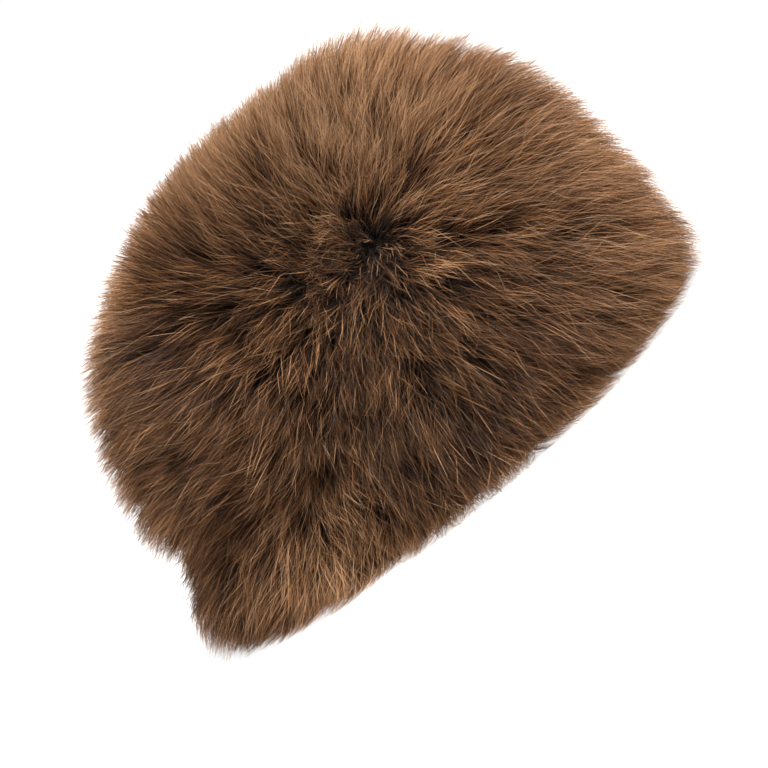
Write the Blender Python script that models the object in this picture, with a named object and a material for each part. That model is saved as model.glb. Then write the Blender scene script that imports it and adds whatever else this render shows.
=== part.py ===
"""A faux fur ushanka with its front, ear and neck flaps turned up, standing on its hem.

Metres, +Z up. The origin is on the surface that the hat stands on, under its middle.
The front of the hat faces -Y, and the wearer's left side faces +X.
"""

import math
import random

import bmesh
import bpy
from mathutils import Vector

# The head inside the hem
HEAD_LENGTH = 0.200
HEAD_WIDTH = 0.166
HEAD_DEPTH = 0.148

# How full the dome is at its front, sides and back: 2 is round, more is squarer
FRONT_FULLNESS = 2.45
SIDE_FULLNESS = 2.8
BACK_FULLNESS = 3.4

# Cloth and fur, outwards from the head
CROWN_CLOTH = 0.003
LAYER_GAP = 0.0008
FLAP_CLOTH = 0.003
UNDERFUR = 0.010
LOCK_HEIGHT = 0.021
LOCK_LEAN = 0.023

# The flaps, as their fold at the hem and their height up the crown
FRONT_FLAP_HEIGHT = 0.047
EAR_FLAP_HEIGHT = 0.140
FRONT_FLAP_TURN = 62.0
EAR_FLAP_TURN = 104.0
FLAP_END_GAP = 0.0008
FLAP_TOP_GAP = 0.0030

# The fur is thinner at the hem, less so in front, and along the edges of the flaps
HEM_PILE = 0.30
FRONT_HEM_PILE = 0.40
HEM_ROUND = 0.040
EDGE_PILE = 0.65
EDGE_ROUND = 0.020

# The locks
LOCKS_AROUND_CROWN = 56
LOCKS_ACROSS_FRONT = 20
LOCKS_UP_FRONT = 4
LOCKS_ALONG_EAR_AND_NECK = 39
LOCKS_UP_EAR_AND_NECK = 8
WALL_ROWS = 4
LOCK_WAIST = 0.62
LOCK_WAIST_AT = 0.50
LOCK_UNEVENNESS = 0.16
PATCH_UNEVENNESS = 0.14
HEM_DROP = 0.60

# The fur lies away from three whorls, the same on both sides of the hat.
# Columns: place along the hat, height, strength, swirl, and how far round it the fur stands up
WHORLS = (
    (0.043, 0.103, 0.69, 0.07, 0.040),
    (-0.062, 0.040, 0.27, -0.20, 0.021),
    (-0.052, 0.128, 0.41, 0.37, 0.039),
)
STANDING_PULL = 2.0

FUR_BROWN = (0.105, 0.057, 0.031, 1.0)


def clear_scene():
    for thing in list(bpy.data.objects):
        bpy.data.objects.remove(thing, do_unlink=True)


def eased(share):
    share = min(max(share, 0.0), 1.0)
    return share * share * (3.0 - 2.0 * share)


def fullness(turn):
    """Squareness of the dome's outline in the direction that is turned this far from the front."""
    ahead = math.cos(math.radians(turn))
    end = FRONT_FULLNESS if ahead > 0.0 else BACK_FULLNESS
    return SIDE_FULLNESS + (end - SIDE_FULLNESS) * ahead * ahead


def shell_point(turn, rise, depth):
    """The point this deep outside the head, seen from under its middle at two angles in degrees."""
    level = math.cos(math.radians(rise))
    way = Vector((
        math.sin(math.radians(turn)) * level,
        -math.cos(math.radians(turn)) * level,
        math.sin(math.radians(rise)),
    ))
    across = way.x / (HEAD_WIDTH / 2.0 + depth)
    along = way.y / (HEAD_LENGTH / 2.0 + depth)
    up = way.z / (HEAD_DEPTH + depth)
    power = fullness(turn)
    size = math.hypot(across, along) ** power + abs(up) ** power
    return way * size ** (-1.0 / power)


def hem_reach(turn):
    return shell_point(turn, 0.0, CROWN_CLOTH + LAYER_GAP).length


def flap_rise(turn):
    """Angle above the hem of the flaps' top edge, low in front and high over the ears and neck."""
    climb = eased((abs(turn) - FRONT_FLAP_TURN) / (EAR_FLAP_TURN - FRONT_FLAP_TURN))
    height = FRONT_FLAP_HEIGHT + (EAR_FLAP_HEIGHT - FRONT_FLAP_HEIGHT) * climb
    return math.degrees(math.atan2(height, hem_reach(turn)))


def pile_share(turn, rise):
    """Share of the full pile here: less by the hem, by a flap's top edge and by its ends."""
    point = shell_point(turn, rise, CROWN_CLOTH + UNDERFUR)
    at_hem = HEM_PILE + FRONT_HEM_PILE * eased(math.cos(math.radians(turn)))
    by_hem = at_hem + (1.0 - at_hem) * eased(point.z / HEM_ROUND)
    to_top = math.radians(abs(rise - flap_rise(turn))) * point.length
    nearest = to_top
    if rise < flap_rise(turn):
        to_end = math.radians(abs(abs(turn) - FRONT_FLAP_TURN)) * math.hypot(point.x, point.y)
        nearest = min(to_top, to_end)
    by_edge = EDGE_PILE + (1.0 - EDGE_PILE) * eased(nearest / EDGE_ROUND)
    return min(by_hem, by_edge)


def nap(place):
    """The way that the fur lies here, in the hat's side view: away from the whorls, less near them."""
    pull = Vector((0.0, 0.0, 0.0))
    for along, height, strength, swirl, standing in WHORLS:
        away = Vector((0.0, place.y - along, place.z - height))
        around = Vector((0.0, away.z, -away.y))
        pull += (away + around * swirl) * strength / (away.length_squared + standing * standing)
    return pull / (pull.length + STANDING_PULL)


def raise_lock(mesh, corners, share, chance):
    """Put one leaning lock on a patch of underfur, given by its corners."""
    places = [corner.co.copy() for corner in corners]
    middle = sum(places, Vector()) / len(places)
    normal = (places[2] - places[0]).cross(places[3] - places[1]).normalized()
    lean = nap(middle)
    lean -= normal * lean.dot(normal)
    height = LOCK_HEIGHT * share * chance.uniform(1.0 - LOCK_UNEVENNESS, 1.0 + LOCK_UNEVENNESS)
    reach = LOCK_LEAN * share * chance.uniform(1.0 - LOCK_UNEVENNESS, 1.0 + LOCK_UNEVENNESS)

    def along(way):
        place = middle + normal * height * way + lean * reach * way * way
        place.z = max(place.z, middle.z * (1.0 - HEM_DROP * way))
        return place

    waist_middle = along(LOCK_WAIST_AT)
    waist = [mesh.verts.new(waist_middle + (place - middle) * LOCK_WAIST) for place in places]
    tip = mesh.verts.new(along(1.0))
    for here in range(len(corners)):
        after = (here + 1) % len(corners)
        mesh.faces.new((corners[here], corners[after], waist[after], waist[here]))
        mesh.faces.new((waist[here], waist[after], tip))


def edges_of_patch(faces):
    """The edges that only one face has, each in that face's own direction."""
    found = {}
    for face in faces:
        for here in range(len(face)):
            edge = (face[here], face[(here + 1) % len(face)])
            if (edge[1], edge[0]) in found:
                del found[(edge[1], edge[0])]
            else:
                found[edge] = True
    return list(found)


def build_fur_piece(name, sites, plain, furry, inside, outside, seed):
    """One closed solid: cloth inside, fur raised in locks outside, and a rim that joins the two."""
    chance = random.Random(seed)
    furry_sites = {corner for face in furry for corner in face}
    mesh = bmesh.new()
    inner = [mesh.verts.new(shell_point(turn, rise, inside)) for turn, rise in sites]
    outer = []
    for number, (turn, rise) in enumerate(sites):
        underfur = UNDERFUR * pile_share(turn, rise) if number in furry_sites else 0.0
        outer.append(mesh.verts.new(shell_point(turn, rise, outside + underfur)))
    for face in plain + furry:
        mesh.faces.new([inner[corner] for corner in reversed(face)])
    for face in plain:
        mesh.faces.new([outer[corner] for corner in face])
    for face in furry:
        share = sum(pile_share(*sites[corner]) for corner in face) / len(face)
        raise_lock(mesh, [outer[corner] for corner in face], share, chance)
    for start, end in edges_of_patch(plain + furry):
        mesh.faces.new((outer[end], outer[start], inner[start], inner[end]))
    bmesh.ops.recalc_face_normals(mesh, faces=mesh.faces)

    data = bpy.data.meshes.new(name)
    mesh.to_mesh(data)
    mesh.free()
    piece = bpy.data.objects.new(name, data)
    bpy.context.scene.collection.objects.link(piece)
    data.materials.append(fur_material(name))
    return piece


def fur_material(name):
    material = bpy.data.materials.new(name + "_fur")
    material.use_nodes = True
    shader = material.node_tree.nodes["Principled BSDF"]
    shader.inputs["Base Color"].default_value = FUR_BROWN
    shader.inputs["Roughness"].default_value = 0.85
    shader.inputs["Metallic"].default_value = 0.0
    return material


def around_front(turn):
    """The same turn, counted from the front between -180 and 180 degrees."""
    return (turn + 180.0) % 360.0 - 180.0


def make_flap(name, from_turn, to_turn, across, up, seed):
    """A strip of fur turned up from the hem, between two angles round the head."""
    chance = random.Random(seed)
    reach = hem_reach((from_turn + to_turn) / 2.0)
    end_gap = math.degrees(FLAP_END_GAP / 2.0 / reach)
    first = from_turn + end_gap
    step = (to_turn - end_gap - first) / across
    sites = []
    for row in range(up + 1):
        for column in range(across + 1):
            aside = PATCH_UNEVENNESS if 0 < column < across and row > 0 else 0.0
            above = aside if row < up else 0.0
            turn = around_front(first + step * (column + chance.uniform(-aside, aside)))
            sites.append((turn, flap_rise(turn) * (row + chance.uniform(-above, above)) / up))
    furry = []
    for row in range(up):
        for column in range(across):
            corner = row * (across + 1) + column
            furry.append((corner, corner + 1, corner + across + 2, corner + across + 1))
    inside = CROWN_CLOTH + LAYER_GAP
    return build_fur_piece(name, sites, [], furry, inside, inside + FLAP_CLOTH, seed)


def on_disc(across, ahead):
    """Distance out and turn on a round disc, for a place on a square that runs from -1 to 1."""
    if abs(across) > abs(ahead):
        return abs(across), math.copysign(90.0, across) - 45.0 * ahead / across
    if ahead == 0.0:
        return 0.0, 0.0
    straight = 0.0 if ahead > 0.0 else 180.0
    return abs(ahead), straight + 45.0 * across / ahead


def crown_fur_rise(turn):
    """Angle above the hem at which the crown's fur starts, just over the flaps' top edge."""
    return flap_rise(turn) + math.degrees(FLAP_TOP_GAP / hem_reach(turn))


def make_crown(name, seed):
    """The cap over the head: a plain cloth wall behind the flaps, and fur above their top edge."""
    chance = random.Random(seed)
    side = LOCKS_AROUND_CROWN // 4
    sites = []
    for row in range(side + 1):
        for column in range(side + 1):
            shift = PATCH_UNEVENNESS if 0 < row < side and 0 < column < side else 0.0
            across = 2.0 * (column + chance.uniform(-shift, shift)) / side - 1.0
            ahead = 2.0 * (row + chance.uniform(-shift, shift)) / side - 1.0
            out, turn = on_disc(across, ahead)
            turn = around_front(turn)
            sites.append((turn, 90.0 - out * (90.0 - crown_fur_rise(turn))))
    furry = []
    for row in range(side):
        for column in range(side):
            corner = row * (side + 1) + column
            furry.append((corner, corner + side + 1, corner + side + 2, corner + 1))
    upper = [edge[0] for edge in edges_in_order(edges_of_patch(furry))]
    plain = []
    for row in range(WALL_ROWS, -1, -1):
        lower = []
        for corner in upper:
            turn = sites[corner][0]
            wall_top = (flap_rise(turn) + crown_fur_rise(turn)) / 2.0
            lower.append(len(sites))
            sites.append((turn, wall_top * row / WALL_ROWS))
        for here in range(len(upper)):
            after = (here + 1) % len(upper)
            plain.append((upper[after], upper[here], lower[here], lower[after]))
        upper = lower
    return build_fur_piece(name, sites, plain, furry, 0.0, CROWN_CLOTH, seed)


def edges_in_order(edges):
    """The same edges, each after the one that it starts from."""
    following = dict(edges)
    start = edges[0][0]
    ordered = [(start, following[start])]
    while ordered[-1][1] != start:
        ordered.append((ordered[-1][1], following[ordered[-1][1]]))
    return ordered


clear_scene()
make_crown("crown", 11)
make_flap(
    "front_flap", -FRONT_FLAP_TURN, FRONT_FLAP_TURN,
    LOCKS_ACROSS_FRONT, LOCKS_UP_FRONT, 12,
)
make_flap(
    "ear_and_neck_flap", FRONT_FLAP_TURN, 360.0 - FRONT_FLAP_TURN,
    LOCKS_ALONG_EAR_AND_NECK, LOCKS_UP_EAR_AND_NECK, 13,
)
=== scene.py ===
"""The looks of a faux fur ushanka that stands on its hem with its flaps turned up.

Metres, +Z up. The front of the hat faces -Y, and the wearer's left side faces +X.
"""

import bpy
import numpy as np
from mathutils import Matrix, Vector
from mathutils.kdtree import KDTree


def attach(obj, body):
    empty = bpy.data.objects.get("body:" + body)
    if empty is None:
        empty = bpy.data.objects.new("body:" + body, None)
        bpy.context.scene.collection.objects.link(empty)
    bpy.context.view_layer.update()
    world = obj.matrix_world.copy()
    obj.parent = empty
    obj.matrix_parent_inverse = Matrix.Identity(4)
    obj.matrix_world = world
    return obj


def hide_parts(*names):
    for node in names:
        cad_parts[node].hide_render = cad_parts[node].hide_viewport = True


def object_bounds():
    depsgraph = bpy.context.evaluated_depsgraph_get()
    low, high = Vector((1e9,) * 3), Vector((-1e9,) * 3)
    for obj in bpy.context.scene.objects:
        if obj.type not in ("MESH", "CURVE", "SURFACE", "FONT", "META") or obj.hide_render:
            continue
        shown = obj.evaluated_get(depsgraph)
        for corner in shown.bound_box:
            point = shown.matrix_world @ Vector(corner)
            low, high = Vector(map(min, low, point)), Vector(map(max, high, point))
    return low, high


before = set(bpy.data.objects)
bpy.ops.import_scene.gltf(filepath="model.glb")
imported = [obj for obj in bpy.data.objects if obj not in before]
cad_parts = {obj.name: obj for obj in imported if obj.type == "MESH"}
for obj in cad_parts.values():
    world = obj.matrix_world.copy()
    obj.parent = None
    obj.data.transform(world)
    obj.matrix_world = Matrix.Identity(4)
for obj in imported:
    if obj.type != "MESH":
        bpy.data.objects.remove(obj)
cad_low, cad_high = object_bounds()


# The crown's cap, a dome of knitted cloth that is open below for the head.
# It is the backing that the crown's fur is knitted into, so its bare knit shows only from inside.

HEAD_LENGTH = 0.200
HEAD_WIDTH = 0.166
HEAD_DEPTH = 0.148
FRONT_FULLNESS = 2.45
SIDE_FULLNESS = 2.8
BACK_FULLNESS = 3.4
CLOTH = 0.003
KNIT_STITCH = 0.0022
KNIT_BROWN = (0.075, 0.042, 0.024)
KNIT_PAINTED_SHADE = (0.022, 0.012, 0.007)
KNIT_RELIEF = 0.0006
WHOLE_TURN = 2.0 * np.pi
UPRIGHT = np.pi / 2.0


def upright(turn):
    return np.full_like(turn, UPRIGHT)


def eased(share):
    """A share from 0 to 1 that starts and stops softly."""
    share = np.clip(share, 0.0, 1.0)
    return share * share * (3.0 - 2.0 * share)


def dome(turn, rise, depth):
    """Points this deep outside the head, and the outward normals there, at two angles from its middle."""
    turn, rise = np.broadcast_arrays(turn, rise)
    way = np.stack([np.sin(turn) * np.cos(rise), -np.cos(turn) * np.cos(rise), np.sin(rise)], axis=-1)
    half = np.array([HEAD_WIDTH / 2.0 + depth, HEAD_LENGTH / 2.0 + depth, HEAD_DEPTH + depth])
    ahead = np.cos(turn)
    end = np.where(ahead > 0.0, FRONT_FULLNESS, BACK_FULLNESS)
    power = (SIDE_FULLNESS + (end - SIDE_FULLNESS) * ahead * ahead)[..., None]
    level = np.linalg.norm(way[..., :2] / half[:2], axis=-1, keepdims=True)
    up = np.abs(way[..., 2:]) / half[2]
    reach = (level ** power + up ** power) ** (-1.0 / power)
    points = way * reach
    level, up = level * reach, up * reach
    sideways = points[..., :2] / half[:2] ** 2 * np.maximum(level, 1e-6) ** (power - 2.0)
    normals = np.concatenate([sideways, up ** (power - 1.0) / half[2]], axis=-1)
    return points, normals / np.linalg.norm(normals, axis=-1, keepdims=True)


def add_mesh(name, points, faces, face_uvs):
    """A mesh object from its points, its faces and a place on the UV map for each face's corners."""
    data = bpy.data.meshes.new(name)
    data.from_pydata(points, [], faces)
    uv_map = data.uv_layers.new(name="OFBake")
    uv_map.data.foreach_set("uv", np.concatenate(face_uvs).astype(np.float32).ravel())
    data.shade_smooth()
    piece = bpy.data.objects.new(name, data)
    bpy.context.scene.collection.objects.link(piece)
    return piece


def cloth_strip(name, from_turn, to_turn, top_of, inside, columns, rows, closed):
    """Cloth that stands up from the hem: two skins and the rims that join them, all round if closed.

    On the UV map the inner skin takes the lower half, the outer skin the upper half, and the rims the
    line between them.
    """
    turns = np.linspace(from_turn, to_turn, columns + 1)
    shares = np.linspace(0.0, 1.0, rows + 1)
    rises = np.stack([top_of(turns) * share for share in shares])
    skins = [dome(turns[None, :], rises, depth)[0] for depth in (inside, inside + CLOTH)]
    per_skin = (rows + 1) * (columns + 1)
    faces, face_uvs = [], []

    def add(corners, u, v):
        faces.append(corners)
        face_uvs.append(np.stack([u, v], axis=-1))

    for row in range(rows):
        for column in range(columns):
            here = row * (columns + 1) + column
            corners = np.array([here, here + 1, here + columns + 2, here + columns + 1])
            u = (column + np.array([0.0, 1.0, 1.0, 0.0])) / columns
            v = (row + np.array([0.0, 0.0, 1.0, 1.0])) / rows
            add((corners[::-1]).tolist(), u[::-1], 0.02 + 0.45 * v[::-1])
            add((corners + per_skin).tolist(), u, 0.53 + 0.45 * v)
    rims = [[(column, column + 1) for column in range(columns)]]
    if not closed:
        last = columns
        rims.append([(row * (columns + 1) + last, (row + 1) * (columns + 1) + last) for row in range(rows)])
        rims.append([((row + 1) * (columns + 1), row * (columns + 1)) for row in range(rows)])
        top = rows * (columns + 1)
        rims.append([(top + column + 1, top + column) for column in range(columns)])
    for rim in rims:
        for number, (start, end) in enumerate(rim):
            u = (number + np.array([0.0, 0.0, 1.0, 1.0])) / len(rim)
            add((start + per_skin, start, end, end + per_skin), u, np.array([0.52, 0.48, 0.48, 0.52]))
    points = np.concatenate([skin.reshape(-1, 3) for skin in skins])
    return add_mesh(name, points, faces, face_uvs)


def knit_material(name, length, height):
    """Brown jersey knit on a strip of this length and height, in rows of small loops."""
    material = bpy.data.materials.new(name)
    material.use_nodes = True
    nodes, links = material.node_tree.nodes, material.node_tree.links
    shader = nodes["Principled BSDF"]
    uv_map = nodes.new("ShaderNodeUVMap")
    uv_map.uv_map = "OFBake"
    stitches = nodes.new("ShaderNodeVectorMath")
    stitches.operation = "MULTIPLY"
    stitches.inputs[1].default_value = (length / KNIT_STITCH, 2.0 * height / KNIT_STITCH, 1.0)
    links.new(uv_map.outputs["UV"], stitches.inputs[0])
    loops = nodes.new("ShaderNodeTexVoronoi")
    loops.voronoi_dimensions = "2D"
    loops.inputs["Scale"].default_value = 1.0
    loops.inputs["Randomness"].default_value = 0.35
    links.new(stitches.outputs["Vector"], loops.inputs["Vector"])
    # Painted shade: the knit is darker between its loops.
    shade = nodes.new("ShaderNodeValToRGB")
    shade.color_ramp.elements[0].color = (*KNIT_BROWN, 1.0)
    shade.color_ramp.elements[0].position = 0.25
    shade.color_ramp.elements[1].color = (*KNIT_PAINTED_SHADE, 1.0)
    shade.color_ramp.elements[1].position = 0.75
    links.new(loops.outputs["Distance"], shade.inputs["Fac"])
    links.new(shade.outputs["Color"], shader.inputs["Base Color"])
    bump = nodes.new("ShaderNodeBump")
    bump.invert = True
    bump.inputs["Strength"].default_value = 0.6
    bump.inputs["Distance"].default_value = KNIT_RELIEF
    links.new(loops.outputs["Distance"], bump.inputs["Height"])
    links.new(bump.outputs["Normal"], shader.inputs["Normal"])
    shader.inputs["Roughness"].default_value = 0.9
    shader.inputs["Sheen Weight"].default_value = 0.2
    return material


crown_cap = cloth_strip("crown_cap", -np.pi, np.pi, upright, 0.0, columns=120, rows=34, closed=True)
crown_cap.data.materials.append(knit_material("crown_knit", length=0.6, height=0.2))
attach(crown_cap, "root")
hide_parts("crown")


# The crown's fur, a long brown acrylic pile with paler tips that lies away from whorls on each side.
# It is guard hair over shorter underfur, both knitted into the cap's cloth. Both stick together in wisps,
# and the wisps in locks.

FRONT_FLAP_HEIGHT = 0.047
EAR_FLAP_HEIGHT = 0.140
FRONT_FLAP_TURN = np.radians(62.0)
EAR_FLAP_TURN = np.radians(104.0)
LAYER_GAP = 0.0008

# The pile's full depth and how much of it the hair fills. By the hem and by the flaps' edges a share of
# it is left, and on the sides and at the top in front a share is taken off.
PILE = cad_high.z - HEAD_DEPTH - CLOTH
PILE_FILL = 1.04
HEM_PILE = 0.50
FRONT_HEM_PILE = 0.20
SIDE_HEM_PILE = 0.38
HEM_ROUND = 0.034
EDGE_PILE = 0.65
BACK_EDGE_PILE = 0.35
EDGE_ROUND = 0.020
SIDE_TRIM = 0.12
TOP_FRONT_TRIM = 0.25
TOP_FRONT_WAY = (0.0, -0.34, 0.94)
TOP_FRONT_FROM = 0.80
TOP_FRONT_BLEND = 0.18

# The fur lies away from three whorls, the same on both sides of the hat.
# A scratch program fitted these values to the directions of the hair in the photograph.
# Columns: place along the hat, height, strength, swirl, and how far round it the hair stands up
WHORLS = (
    (0.043, 0.103, 0.69, 0.07, 0.043),
    (-0.062, 0.040, 0.27, -0.20, 0.021),
    (-0.052, 0.128, 0.41, 0.37, 0.039),
)
# Where the pull of the whorls is below this, the hair stands up more than it lies.
STANDING_PULL = 2.0
# How much the fur on the front and back is drawn down.
DROOP = 6.5

# By the parting the fur is shorter and messy.
MESSY_PLACE = (0.024, 0.112)
MESSY_ROUND = 0.046
MESSY_TRIM = 0.24
MESSY_SWING = 0.9
MESSY_PALER = 0.06

# Painted light and shade in the fur's tone: paler towards the top, darker on the sides, and paler at the
# hem of the sides.
PAINTED_LIGHT_WAY = (0.0, 0.12, 0.88)
PALE_ALL = 0.25
SIDE_PAINTED_SHADE = 0.5
HEM_PAINTED_LIGHT = 0.70
HEM_PAINTED_LIGHT_HEIGHT = 0.024

# Patches of painted light and painted shade in the fur's tone, the same on both sides of the hat.
# They were set by hand, where a scratch program found the render too dark or too bright.
# Columns: place along the hat, height, reach, and how much paler the hair is
PAINTED_LIGHT_AND_SHADE_PATCHES = (
    (-0.048, 0.110, 0.080, -0.40),
    (0.053, 0.140, 0.050, 0.44),
    (0.020, 0.044, 0.100, -0.34),
    (-0.052, 0.040, 0.038, 0.24),
    (-0.072, 0.068, 0.034, -0.24),
    (0.000, 0.178, 0.050, 0.44),
    (0.090, 0.148, 0.070, -0.50),
    (-0.014, 0.096, 0.034, 0.16),
    (-0.004, 0.046, 0.036, -0.22),
    (-0.095, 0.026, 0.045, -0.24),
)

# How a strand stands up and leans over, how far it may stray past the solids' box, and where it stops
# above the floor.
HAIR_LEAN = 0.030
LEAN_CURVE = 1.7
LEAST_LEAN = 0.15
STAND_FIRST = 0.35
CURL = 0.0035
TAPER_CURVE = 1.5
FACING_SPREAD = 0.6
STRAY = (0.014, 0.014, 0.012)
STRAND_CLEAR = 0.0003
FLOOR_REST = 0.006

# Strands stick together in wisps, and wisps in locks.
# The spreads say how much locks, wisps and strands differ in length, in the way they turn and in tone.
LOCK_SPACING = 0.0090
LOCK_PULL = 0.36
LOCK_CURVE = 2.0
WISP_SPACING = 0.0021
WISP_PULL = 0.62
WISP_CURVE = 1.3
LENGTH_SPREAD = (0.05, 0.08, 0.09)
SHORTEST = 0.65
LONGEST = 1.10
TURN_SPREAD = (0.22, 0.22, 0.16)
LEAN_SPREAD = 0.15
KICK = 0.0012
TONE_SPREAD = (0.08, 0.13, 0.26)
BRIGHT_SHARE = 0.15
BRIGHT_PALER = 0.46

# Wild strands are longer and paler than the rest, and hardly stick to a wisp.
WILD_LENGTH = 1.18
WILD_HOLD = 0.25
WILD_KICK = 0.0045
WILD_PALER = 0.20

# Each tone has a column of its own on the map, and a strand lies in the middle of it.
HAIR_TONES = 128
BAKE_PIXELS = 1024
HAIR_MAP_WIDTH = 6.0 / BAKE_PIXELS

# A kind's paler sets how strongly the painted light and shade show in its tone.
GUARD_HAIR = {
    "per_area": 1300000.0, "wild": 0.08, "width": 0.00024, "length": 1.0, "segments": 3, "taper": 0.5,
    "tone": 0.34, "paler": 0.24,
}
# The underfur's low tone is partly its own colour and partly painted shade deep in the pile.
UNDERFUR = {
    "per_area": 900000.0, "wild": 0.0, "width": 0.00042, "length": 0.72, "segments": 2, "taper": 0.5,
    "tone": 0.12, "paler": 0.12,
}


def hem_reach(turn):
    """How far the flaps' inner face lies from the middle of the hat, at the hem."""
    points = dome(turn, np.zeros_like(turn), CLOTH + LAYER_GAP)[0]
    return np.linalg.norm(points, axis=-1)


def flap_rise(turn):
    """Angle above the hem of the flaps' top edge, low in front and high over the ears and neck."""
    turn = np.abs((turn + np.pi) % WHOLE_TURN - np.pi)
    climb = eased((turn - FRONT_FLAP_TURN) / (EAR_FLAP_TURN - FRONT_FLAP_TURN))
    height = FRONT_FLAP_HEIGHT + (EAR_FLAP_HEIGHT - FRONT_FLAP_HEIGHT) * climb
    return np.arctan2(height, hem_reach(turn))


def pile_share(turn, rise, points):
    """Share of the full pile here: less by the hem, by a flap's top edge and by its ends."""
    lowest = HEM_PILE + FRONT_HEM_PILE * eased(np.cos(turn)) + SIDE_HEM_PILE * np.sin(turn) ** 2
    by_hem = lowest + (1.0 - lowest) * eased(points[:, 2] / HEM_ROUND)
    nearest = np.abs(rise - flap_rise(turn)) * np.linalg.norm(points, axis=-1)
    turn = np.abs((turn + np.pi) % WHOLE_TURN - np.pi)
    to_end = np.abs(turn - FRONT_FLAP_TURN) * np.linalg.norm(points[:, :2], axis=-1)
    nearest = np.where(rise < flap_rise(turn), np.minimum(nearest, to_end), nearest)
    at_edge = EDGE_PILE + BACK_EDGE_PILE * eased(-2.0 * np.cos(turn))
    return np.minimum(by_hem, at_edge + (1.0 - at_edge) * eased(nearest / EDGE_ROUND))


def nap(points, normals):
    """The way that the fur lies here: away from the whorls, and down on the front and back."""
    pull = np.zeros_like(points)
    for along, height, strength, swirl, standing in WHORLS:
        away = points[:, 1:] - np.array([along, height])
        around = np.stack([away[:, 1], -away[:, 0]], axis=1)
        near = (away ** 2).sum(axis=1, keepdims=True) + standing ** 2
        pull[:, 1:] += strength * (away + swirl * around) / near
    pull[:, 2] -= DROOP * (1.0 - np.abs(normals[:, 0])) ** 2
    pull /= np.linalg.norm(pull, axis=1, keepdims=True) + STANDING_PULL
    return pull - normals * (pull * normals).sum(axis=1, keepdims=True)


def scatter(patch, per_area, chance):
    """Random places all over a patch of the dome, as turns and rises, with this many to a square metre."""
    from_turn, to_turn, bottom_of, top_of = patch
    columns, rows = 160, 48
    turns = np.linspace(from_turn, to_turn, columns + 1)
    shares = np.linspace(0.0, 1.0, rows + 1)[:, None]
    rises = bottom_of(turns) + (top_of(turns) - bottom_of(turns)) * shares
    points = dome(turns[None, :], rises, CLOTH)[0]
    across = points[:-1, 1:] - points[:-1, :-1]
    up = points[1:, :-1] - points[:-1, :-1]
    areas = np.linalg.norm(np.cross(across, up), axis=-1).ravel()
    count = int(areas.sum() * per_area)
    cells = chance.choice(len(areas), size=count, p=areas / areas.sum())
    turn = from_turn + (to_turn - from_turn) * (cells % columns + chance.random(count)) / columns
    share = (cells // columns + chance.random(count)) / rows
    return turn, bottom_of(turn) + (top_of(turn) - bottom_of(turn)) * share


def nearest_of(centres, places):
    """The number of the centre that lies nearest to each place."""
    tree = KDTree(len(centres))
    for number, centre in enumerate(centres):
        tree.insert(centre, number)
    tree.balance()
    return np.array([tree.find(place)[1] for place in places])


def turned(ways, axes, angles):
    """Each way, turned about its own axis."""
    cos, sin = np.cos(angles)[:, None], np.sin(angles)[:, None]
    along = axes * (ways * axes).sum(axis=1, keepdims=True) * (1.0 - cos)
    return ways * cos + np.cross(axes, ways) * sin + along


def kept_near(points):
    """The same points, off the floor, and bent back where they stand far out of the solids' box."""
    low, high, stray = np.array(cad_low), np.array(cad_high), np.array(STRAY)
    over = np.maximum(points - high, 0.0)
    under = np.maximum(low - points, 0.0)
    points = points - over * over / (over + stray) + under * under / (under + stray)
    points[:, 2] = np.maximum(points[:, 2], STRAND_CLEAR)
    return points


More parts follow.
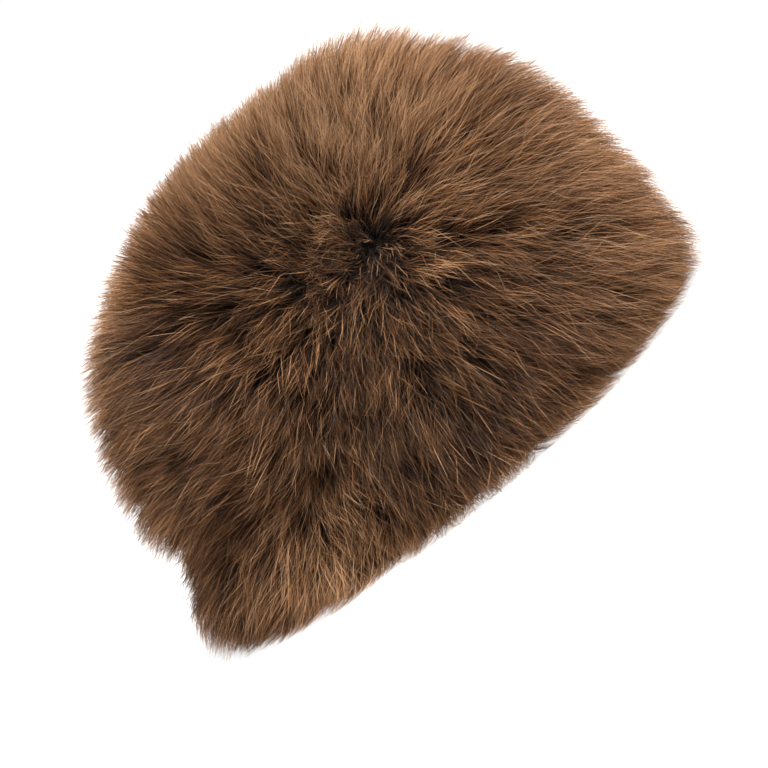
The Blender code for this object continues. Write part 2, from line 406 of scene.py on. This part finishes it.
def grow(name, kind, patch, depth, seed):
    """Hair of one kind all over a patch of backing, each strand a narrow strip that ends in a point.

    Both kinds on a patch have the same seed, so they share their wisps and locks.
    """
    chance = np.random.default_rng(seed)
    lock_places = dome(*scatter(patch, 1.0 / LOCK_SPACING ** 2, chance), depth)[0]
    wisp_places = dome(*scatter(patch, 1.0 / WISP_SPACING ** 2, chance), depth)[0]
    lock_of_wisp = nearest_of(lock_places, wisp_places)
    lock_luck = chance.normal(size=(len(lock_places), 4))
    wisp_luck = chance.normal(size=(len(wisp_places), 4))

    chance = np.random.default_rng([seed, kind["segments"]])
    turn, rise = scatter(patch, kind["per_area"], chance)
    roots, normals = dome(turn, rise, depth)
    wisp = nearest_of(wisp_places, roots)
    lock = lock_of_wisp[wisp]
    count = len(roots)
    luck = chance.normal(size=(count, 5))
    is_wild = chance.random(count) < kind["wild"]
    lock_luck, wisp_luck = lock_luck[lock], wisp_luck[wisp]

    def differing(spread, which):
        by_lock, by_wisp, by_strand = spread
        return by_lock * lock_luck[:, which] + by_wisp * wisp_luck[:, which] + by_strand * luck[:, which]

    share = pile_share(turn, rise, roots)
    messy = 1.0 - eased(np.hypot(roots[:, 1] - MESSY_PLACE[0], roots[:, 2] - MESSY_PLACE[1]) / MESSY_ROUND)
    top_front = eased((normals @ np.array(TOP_FRONT_WAY) - TOP_FRONT_FROM) / TOP_FRONT_BLEND)
    share = share * (1.0 - MESSY_TRIM * messy)
    share = share * (1.0 - TOP_FRONT_TRIM * top_front)
    share = share * (1.0 - SIDE_TRIM * normals[:, 0] ** 2)
    size = np.clip(1.0 + differing(LENGTH_SPREAD, 0), SHORTEST, LONGEST) * kind["length"] * share
    reach = PILE * PILE_FILL * size * np.where(is_wild, WILD_LENGTH, 1.0)
    lean = nap(roots, normals)
    lean = turned(lean, normals, differing(TURN_SPREAD, 1) * (1.0 + MESSY_SWING * messy))
    curl = np.cross(normals, lean)
    lean = lean * (HAIR_LEAN * size * (1.0 + LEAN_SPREAD * wisp_luck[:, 2]))[:, None]
    bunch = (roots - wisp_places[wisp]) * WISP_PULL
    gather = (wisp_places[wisp] - lock_places[lock]) * LOCK_PULL
    hold = np.where(is_wild, WILD_HOLD, 1.0)[:, None]
    kick = chance.normal(size=(count, 3)) * np.where(is_wild, WILD_KICK, KICK)[:, None]

    tips = roots + normals * reach[:, None] + lean - (bunch + gather) * hold + kick
    lowest = FLOOR_REST * chance.random(count) ** 2
    drop = np.maximum(roots[:, 2] - tips[:, 2], 1e-6)
    kept = np.clip((roots[:, 2] - lowest) / drop, LEAST_LEAN, 1.0)[:, None]
    lean, kick = lean * kept, kick * kept

    segments = kind["segments"]
    line = []
    for step in range(segments + 1):
        s = step / segments
        stand = s * (1.0 + STAND_FIRST) - STAND_FIRST * s * s
        point = roots + normals * (reach * stand)[:, None] + lean * s ** LEAN_CURVE
        point = point - (bunch * s ** WISP_CURVE + gather * s ** LOCK_CURVE) * hold + kick * s * s
        point += curl * (CURL * luck[:, 2] * np.sin(np.pi * s))[:, None]
        line.append(kept_near(point))
    line = np.stack(line, axis=1)

    facing = normals + FACING_SPREAD * chance.normal(size=(count, 3))
    strips = []
    for step in range(segments):
        along = line[:, step + 1] - line[:, max(step - 1, 0)]
        across = np.cross(along, facing)
        across /= np.linalg.norm(across, axis=1, keepdims=True)
        narrow = 1.0 - kind["taper"] * (step / segments) ** TAPER_CURVE
        half = across * (kind["width"] * narrow / 2.0)
        strips.append(line[:, step] - half)
        strips.append(line[:, step] + half)
    strips.append(line[:, segments])
    points = np.stack(strips, axis=1).reshape(-1, 3)

    tone = kind["tone"] + differing(TONE_SPREAD, 3) + MESSY_PALER * messy
    tone += np.where(chance.random(count) < BRIGHT_SHARE, BRIGHT_PALER, 0.0)
    # Painted light and shade: paler where the fur faces up, darker where it faces the sides.
    tone += kind["paler"] * (PALE_ALL - SIDE_PAINTED_SHADE * normals[:, 0] ** 2 + normals @ np.array(PAINTED_LIGHT_WAY))
    # Patches of painted light and painted shade.
    for along, height, round_it, paler in PAINTED_LIGHT_AND_SHADE_PATCHES:
        away = np.hypot(roots[:, 1] - along, roots[:, 2] - height)
        tone += paler * eased(1.0 - away / round_it) * eased(2.0 * np.abs(normals[:, 0]))
    # Painted light: paler fur at the hem of the sides, as if lit from below.
    tone += HEM_PAINTED_LIGHT * eased(1.0 - roots[:, 2] / HEM_PAINTED_LIGHT_HEIGHT) * normals[:, 0] ** 2
    tone += np.where(is_wild, WILD_PALER, 0.0)
    column = np.clip(tone * HAIR_TONES, 0, HAIR_TONES - 1).astype(int)
    u_middle = (column + 0.5) / HAIR_TONES
    return hair_mesh(name, points, count, segments, u_middle)


def hair_mesh(name, points, count, segments, u_middle):
    """The strands' mesh: two corners at each step and one at the tip, and a column of the map for each."""
    per_hair = 2 * segments + 1
    first = np.arange(count) * per_hair
    loops, u_side, v_along = [], [], []
    for step in range(segments):
        low = 2 * step
        v_low, v_high = 0.01 + 0.98 * step / segments, 0.01 + 0.98 * (step + 1) / segments
        if step < segments - 1:
            loops += [low, low + 1, low + 3, low + 2]
            u_side += [-0.5, 0.5, 0.5, -0.5]
            v_along += [v_low, v_low, v_high, v_high]
        else:
            loops += [low, low + 1, low + 2]
            u_side += [-0.5, 0.5, 0.0]
            v_along += [v_low, v_low, v_high]
    sizes = [4] * (segments - 1) + [3]
    corners = (first[:, None] + np.array(loops)).ravel()
    u = (u_middle[:, None] + HAIR_MAP_WIDTH * np.array(u_side)).ravel()
    v = np.tile(v_along, count)

    data = bpy.data.meshes.new(name)
    data.vertices.add(len(points))
    data.vertices.foreach_set("co", points.astype(np.float32).ravel())
    data.loops.add(len(corners))
    data.loops.foreach_set("vertex_index", corners.astype(np.int32))
    sizes = np.tile(sizes, count)
    data.polygons.add(len(sizes))
    data.polygons.foreach_set("loop_start", (np.cumsum(sizes) - sizes).astype(np.int32))
    data.update(calc_edges=True)
    uv_map = data.uv_layers.new(name="OFBake")
    uv_map.data.foreach_set("uv", np.stack([u, v], axis=-1).astype(np.float32).ravel())
    data.validate()
    data.shade_smooth()
    piece = bpy.data.objects.new(name, data)
    bpy.context.scene.collection.objects.link(piece)
    return piece


def colour_ramp(nodes, stops):
    ramp = nodes.new("ShaderNodeValToRGB")
    elements = ramp.color_ramp.elements
    while len(elements) < len(stops):
        elements.new(0.5)
    for element, (position, colour) in zip(elements, stops):
        element.position = position
        element.color = (*colour, 1.0)
    return ramp


DARK_HAIR_AND_SHADE = (0.0040, 0.0018, 0.0009)
BROWN_HAIR = (0.030, 0.0128, 0.0056)
GOLDEN_HAIR = (0.205, 0.086, 0.0300)
TAUPE_HAIR = (0.320, 0.171, 0.085)
PALE_HAIR = (0.540, 0.325, 0.176)
ROOT_TO_BODY = (0.30, 0.80)
BODY_TO_TIP = (0.60, 1.0)
TONE_SPECKLE = 0.10
HAIR_ROUGHNESS = 0.45
HAIR_GLOSS = 0.08
HAIR_SHEEN = 0.05
LIGHT_THROUGH = 0.16


def hair_material(name):
    """Acrylic hair in many tones, dark at the root (dye and painted shade), brown along, paler at the tip.
    """
    material = bpy.data.materials.new(name)
    material.use_nodes = True
    nodes, links = material.node_tree.nodes, material.node_tree.links
    shader = nodes["Principled BSDF"]
    output = nodes["Material Output"]
    uv_map = nodes.new("ShaderNodeUVMap")
    uv_map.uv_map = "OFBake"
    split = nodes.new("ShaderNodeSeparateXYZ")
    links.new(uv_map.outputs["UV"], split.inputs["Vector"])
    column = nodes.new("ShaderNodeMath")
    column.operation = "SNAP"
    column.inputs[1].default_value = 1.0 / HAIR_TONES
    links.new(split.outputs["X"], column.inputs[0])
    speckle = nodes.new("ShaderNodeTexWhiteNoise")
    speckle.noise_dimensions = "1D"
    links.new(column.outputs["Value"], speckle.inputs["W"])
    tone = nodes.new("ShaderNodeMath")
    tone.operation = "MULTIPLY_ADD"
    tone.inputs[1].default_value = TONE_SPECKLE
    links.new(speckle.outputs["Value"], tone.inputs[0])
    links.new(column.outputs["Value"], tone.inputs[2])
    # The dark at the root is partly the hair's own colour and partly painted shade deep in the pile.
    root = colour_ramp(nodes, ((0.0, DARK_HAIR_AND_SHADE), (0.6, DARK_HAIR_AND_SHADE), (1.0, BROWN_HAIR)))
    body = colour_ramp(
        nodes, ((0.0, DARK_HAIR_AND_SHADE), (0.30, BROWN_HAIR), (0.75, GOLDEN_HAIR), (1.0, TAUPE_HAIR)),
    )
    tip = colour_ramp(
        nodes, ((0.0, BROWN_HAIR), (0.35, GOLDEN_HAIR), (0.7, TAUPE_HAIR), (1.0, PALE_HAIR)),
    )
    for ramp in (root, body, tip):
        links.new(tone.outputs["Value"], ramp.inputs["Fac"])
    colour = root.outputs["Color"]
    for ramp, (start, end) in ((body, ROOT_TO_BODY), (tip, BODY_TO_TIP)):
        blend = nodes.new("ShaderNodeMapRange")
        blend.interpolation_type = "SMOOTHSTEP"
        blend.inputs["From Min"].default_value = start
        blend.inputs["From Max"].default_value = end
        links.new(split.outputs["Y"], blend.inputs["Value"])
        mix = nodes.new("ShaderNodeMix")
        mix.data_type = "RGBA"
        links.new(blend.outputs["Result"], mix.inputs["Factor"])
        links.new(colour, mix.inputs["A"])
        links.new(ramp.outputs["Color"], mix.inputs["B"])
        colour = mix.outputs["Result"]
    links.new(colour, shader.inputs["Base Color"])
    shader.inputs["Roughness"].default_value = HAIR_ROUGHNESS
    shader.inputs["Specular IOR Level"].default_value = HAIR_GLOSS
    shader.inputs["Sheen Weight"].default_value = HAIR_SHEEN
    through = nodes.new("ShaderNodeBsdfTranslucent")
    links.new(colour, through.inputs["Color"])
    both = nodes.new("ShaderNodeMixShader")
    both.inputs["Fac"].default_value = LIGHT_THROUGH
    links.new(shader.outputs["BSDF"], both.inputs[1])
    links.new(through.outputs["BSDF"], both.inputs[2])
    links.new(both.outputs["Shader"], output.inputs["Surface"])
    return material


crown_hair = hair_material("crown_hair")
left_of_crown = (0.0, np.pi, flap_rise, upright)
right_of_crown = (np.pi, WHOLE_TURN, flap_rise, upright)
for name, kind, patch, seed in (
    ("crown_guard_hair_left", GUARD_HAIR, left_of_crown, 21),
    ("crown_guard_hair_right", GUARD_HAIR, right_of_crown, 22),
    ("crown_underfur_left", UNDERFUR, left_of_crown, 21),
    ("crown_underfur_right", UNDERFUR, right_of_crown, 22),
):
    fur = grow(name, kind, patch, CLOTH, seed)
    fur.data.materials.append(crown_hair)
    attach(fur, "root")
    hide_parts("crown")


# The front flap, a low band of the same cloth and fur that is turned up across the front of the crown.
# It is folded at the hem and lies against the crown, and its fur fans out over the brow.

flap_inside = CLOTH + LAYER_GAP
flap_outside = flap_inside + CLOTH
front_flap_cloth = cloth_strip(
    "front_flap_cloth", -FRONT_FLAP_TURN, FRONT_FLAP_TURN, flap_rise, flap_inside, columns=60, rows=10,
    closed=False,
)
front_flap_cloth.data.materials.append(knit_material("front_flap_knit", length=0.25, height=0.06))
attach(front_flap_cloth, "root")
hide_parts("front_flap")


def at_hem(turn):
    return np.zeros_like(turn)


flap_hair = hair_material("flap_hair")
front_patch = (-FRONT_FLAP_TURN, FRONT_FLAP_TURN, at_hem, flap_rise)
for name, kind in (("front_flap_guard_hair", GUARD_HAIR), ("front_flap_underfur", UNDERFUR)):
    fur = grow(name, kind, front_patch, flap_outside, 31)
    fur.data.materials.append(flap_hair)
    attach(fur, "root")
    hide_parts("front_flap")


# The ear and neck flap, one long strip of the cloth and fur turned up round the sides and back.
# It is folded at the hem like the front flap, and over the ears and neck it reaches up most of the crown.

ear_and_neck_cloth = cloth_strip(
    "ear_and_neck_flap_cloth", FRONT_FLAP_TURN, WHOLE_TURN - FRONT_FLAP_TURN, flap_rise, flap_inside,
    columns=110, rows=18, closed=False,
)
ear_and_neck_cloth.data.materials.append(
    knit_material("ear_and_neck_flap_knit", length=0.45, height=0.14)
)
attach(ear_and_neck_cloth, "root")
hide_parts("ear_and_neck_flap")

left_patch = (FRONT_FLAP_TURN, np.pi, at_hem, flap_rise)
right_patch = (np.pi, WHOLE_TURN - FRONT_FLAP_TURN, at_hem, flap_rise)
for side, patch, seed in (("left", left_patch, 41), ("right", right_patch, 42)):
    for hair, kind in (("guard_hair", GUARD_HAIR), ("underfur", UNDERFUR)):
        fur = grow("ear_and_neck_flap_" + hair + "_" + side, kind, patch, flap_outside, seed)
        fur.data.materials.append(flap_hair)
        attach(fur, "root")
        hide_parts("ear_and_neck_flap")


# The studio: a white table that is lit from within, light from all round and a soft lamp above.
# The camera looks at the hat's left side, from a little above, and is turned as the photograph is.

FLOOR_HALF = 6.0
FLOOR_SHADE = (0.30, 0.30, 0.30)
FLOOR_GLOW = 0.78
ROOM_LIGHT = 1.02
LAMP_PLACE = (0.34, 0.36, 1.22)
LAMP_AIM = (0.0, 0.0, 0.1)
LAMP_SPREAD = np.radians(25.0)
LAMP_STRENGTH = 10.4
CAMERA_LENS = 135.0
CAMERA_SENSOR = 36.0
CAMERA_DISTANCE = 1.25
CAMERA_RISE = np.radians(9.0)
CAMERA_ROLL = np.radians(39.6)
PHOTO_SIZE = 768.0
HAT_CENTRE_IN_PHOTO = (329.5, 291.5)

floor_mesh = bpy.data.meshes.new("floor")
floor_mesh.from_pydata(
    [(-FLOOR_HALF, -FLOOR_HALF, 0.0), (FLOOR_HALF, -FLOOR_HALF, 0.0),
     (FLOOR_HALF, FLOOR_HALF, 0.0), (-FLOOR_HALF, FLOOR_HALF, 0.0)],
    [], [(0, 1, 2, 3)],
)
floor = bpy.data.objects.new("floor", floor_mesh)
bpy.context.scene.collection.objects.link(floor)
floor_material = bpy.data.materials.new("floor_white")
floor_material.use_nodes = True
floor_shader = floor_material.node_tree.nodes["Principled BSDF"]
floor_shader.inputs["Base Color"].default_value = (*FLOOR_SHADE, 1.0)
floor_shader.inputs["Roughness"].default_value = 0.9
floor_shader.inputs["Emission Color"].default_value = (1.0, 1.0, 1.0, 1.0)
floor_shader.inputs["Emission Strength"].default_value = FLOOR_GLOW
floor_mesh.materials.append(floor_material)

world = bpy.data.worlds.new("studio")
world.use_nodes = True
world.node_tree.nodes["Background"].inputs["Color"].default_value = (1.0, 1.0, 1.0, 1.0)
world.node_tree.nodes["Background"].inputs["Strength"].default_value = ROOM_LIGHT
bpy.context.scene.world = world

lamp_data = bpy.data.lights.new("lamp_above", "SUN")
lamp_data.angle = LAMP_SPREAD
lamp_data.energy = LAMP_STRENGTH
lamp = bpy.data.objects.new("lamp_above", lamp_data)
lamp.location = LAMP_PLACE
lamp.rotation_euler = (Vector(LAMP_AIM) - lamp.location).to_track_quat("-Z", "Y").to_euler()
bpy.context.scene.collection.objects.link(lamp)

camera_data = bpy.data.cameras.new("camera")
camera_data.lens = CAMERA_LENS
camera_data.sensor_width = CAMERA_SENSOR
camera = bpy.data.objects.new("camera", camera_data)
backward = Vector((np.cos(CAMERA_RISE), 0.0, np.sin(CAMERA_RISE)))
level_right = Vector((0.0, 1.0, 0.0))
level_up = backward.cross(level_right)
right = level_right * np.cos(CAMERA_ROLL) - level_up * np.sin(CAMERA_ROLL)
up = level_right * np.sin(CAMERA_ROLL) + level_up * np.cos(CAMERA_ROLL)
per_pixel = camera_data.sensor_width / camera_data.lens * CAMERA_DISTANCE / PHOTO_SIZE
aim = Vector((0.0, 0.0, (cad_low.z + cad_high.z) / 2.0))
aim -= right * (HAT_CENTRE_IN_PHOTO[0] - PHOTO_SIZE / 2.0) * per_pixel
aim += up * (HAT_CENTRE_IN_PHOTO[1] - PHOTO_SIZE / 2.0) * per_pixel
camera.rotation_euler = Matrix((right, up, backward)).transposed().to_euler()
camera.location = aim + backward * CAMERA_DISTANCE
bpy.context.scene.collection.objects.link(camera)
bpy.context.scene.camera = camera
bpy.context.scene.view_settings.view_transform = "Standard"
